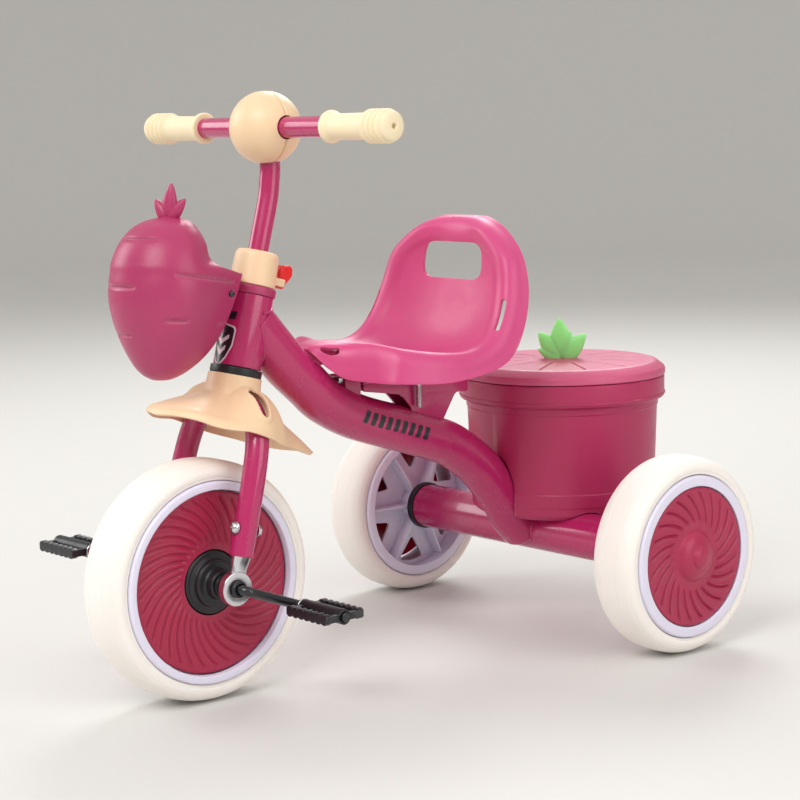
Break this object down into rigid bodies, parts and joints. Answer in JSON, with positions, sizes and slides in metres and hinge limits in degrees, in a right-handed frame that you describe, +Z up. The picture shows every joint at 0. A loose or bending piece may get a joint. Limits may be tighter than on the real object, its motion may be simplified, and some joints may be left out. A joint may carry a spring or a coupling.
{
  "type": "children's tricycle",
  "caption": "Children's pedal tricycle with bucket seat, direct-drive front wheel, front basket and lidded rear bin.",
  "frame": {"origin": "on the ground under the middle of the tricycle's length and width", "axes": "+Z up, -Y the direction of travel, +X the rider's left"},
  "size_m": [0.5108, 0.7531, 0.597],
  "materials": {
    "frame_paint": "gloss magenta powder coat",
    "seat_plastic": "semi-gloss moulded pink",
    "bin_plastic": "satin moulded raspberry",
    "basket_plastic": "satin moulded pink",
    "cover_plastic": "satin moulded raspberry",
    "cream_plastic": "satin moulded cream",
    "grip_rubber": "soft ribbed cream",
    "tyre_foam": "matt off-white foam",
    "rim_plastic": "satin moulded lavender",
    "leaf_plastic": "satin moulded green",
    "lever_plastic": "gloss red",
    "black_plastic": "satin black",
    "black_steel": "black painted steel",
    "plated_steel": "bright zinc plate"
  },
  "bodies": {
    "frame": {"head_tube": "frame_paint", "main_tube": "frame_paint", "rear_axle_tube": "frame_paint", "head_bush_lower": "black_plastic", "head_bush_upper": "frame_paint", "seat_shell": "seat_plastic", "seat_bracket_rear": "frame_paint", "seat_bracket_front": "frame_paint", "seat_bolt_front": "plated_steel", "seat_bolt_rear_left": "plated_steel", "seat_bolt_rear_right": "plated_steel", "front_basket": "basket_plastic", "basket_screw_left": "plated_steel", "basket_screw_right": "plated_steel", "bin_body": "bin_plastic", "bin_screw_left": "plated_steel", "bin_screw_right": "plated_steel", "axle_cap_left": "black_plastic", "axle_cap_right": "black_plastic", "rear_axle_rod": "plated_steel", "rear_axle_nut_left": "plated_steel", "rear_axle_nut_right": "plated_steel"},
    "steering": {"steerer_tube": "frame_paint", "fork_leg_left": "frame_paint", "fork_leg_right": "frame_paint", "fork_eye_left": "plated_steel", "fork_eye_right": "plated_steel", "axle_bush_left": "black_plastic", "axle_bush_right": "black_plastic", "eye_bolt_left": "plated_steel", "eye_bolt_right": "plated_steel", "front_fender": "cream_plastic", "stem_sleeve": "cream_plastic", "lever_pin": "plated_steel"},
    "clamp_lever": {"quick_release_lever": "lever_plastic"},
    "handlebar": {"handlebar_stem": "frame_paint", "handlebar_crossbar": "frame_paint", "grip_left": "grip_rubber", "grip_right": "grip_rubber", "ball_shell_front": "cream_plastic", "ball_shell_rear": "cream_plastic"},
    "front_wheel": {"front_tyre": "tyre_foam", "front_rim": "rim_plastic", "front_cover_left": "cover_plastic", "front_cover_right": "cover_plastic", "hub_flange_left": "black_plastic", "hub_flange_right": "black_plastic", "crank": "black_steel"},
    "pedal_left": {"pedal_left": "black_plastic"},
    "pedal_right": {"pedal_right": "black_plastic"},
    "rear_wheel_left": {"rear_tyre_left": "tyre_foam", "rear_rim_left": "rim_plastic", "rear_cover_left": "cover_plastic"},
    "rear_wheel_right": {"rear_tyre_right": "tyre_foam", "rear_rim_right": "rim_plastic", "rear_cover_right": "cover_plastic"},
    "lid": {"bin_lid": "bin_plastic", "lid_leaf": "leaf_plastic"}
  },
  "joints": [
    {"name": "steering_turn", "type": "hinge", "parent": "frame", "child": "steering", "pos_m": [0, -0.19105, 0.36125], "axis": [0, 0.2622, 0.965], "range_deg": [-45, 45]},
    {"name": "lever_swing", "type": "hinge", "parent": "steering", "child": "clamp_lever", "pos_m": [0, -0.14736, 0.40575], "axis": [-1, 0, 0], "range_deg": [0, 110]},
    {"name": "handlebar_height", "type": "slide", "parent": "steering", "child": "handlebar", "axis": [0, 0.2622, 0.965], "range_m": [0, 0.04]},
    {"name": "front_wheel_spin", "type": "hinge", "parent": "steering", "child": "front_wheel", "pos_m": [0, -0.2566, 0.12], "axis": [1, 0, 0], "continuous": true},
    {"name": "pedal_left_spin", "type": "hinge", "parent": "front_wheel", "child": "pedal_left", "pos_m": [0.1, -0.19125, 0.09491], "axis": [1, 0, 0], "continuous": true},
    {"name": "pedal_right_spin", "type": "hinge", "parent": "front_wheel", "child": "pedal_right", "pos_m": [-0.1, -0.32195, 0.14509], "axis": [1, 0, 0], "continuous": true},
    {"name": "rear_wheel_left_spin", "type": "hinge", "parent": "frame", "child": "rear_wheel_left", "pos_m": [0.2154, 0.209, 0.105], "axis": [1, 0, 0], "continuous": true},
    {"name": "rear_wheel_right_spin", "type": "hinge", "parent": "frame", "child": "rear_wheel_right", "pos_m": [-0.2154, 0.209, 0.105], "axis": [1, 0, 0], "continuous": true},
    {"name": "lid_lift", "type": "slide", "parent": "frame", "child": "lid", "axis": [0, 0, 1], "range_m": [0, 0.1]}
  ]
}
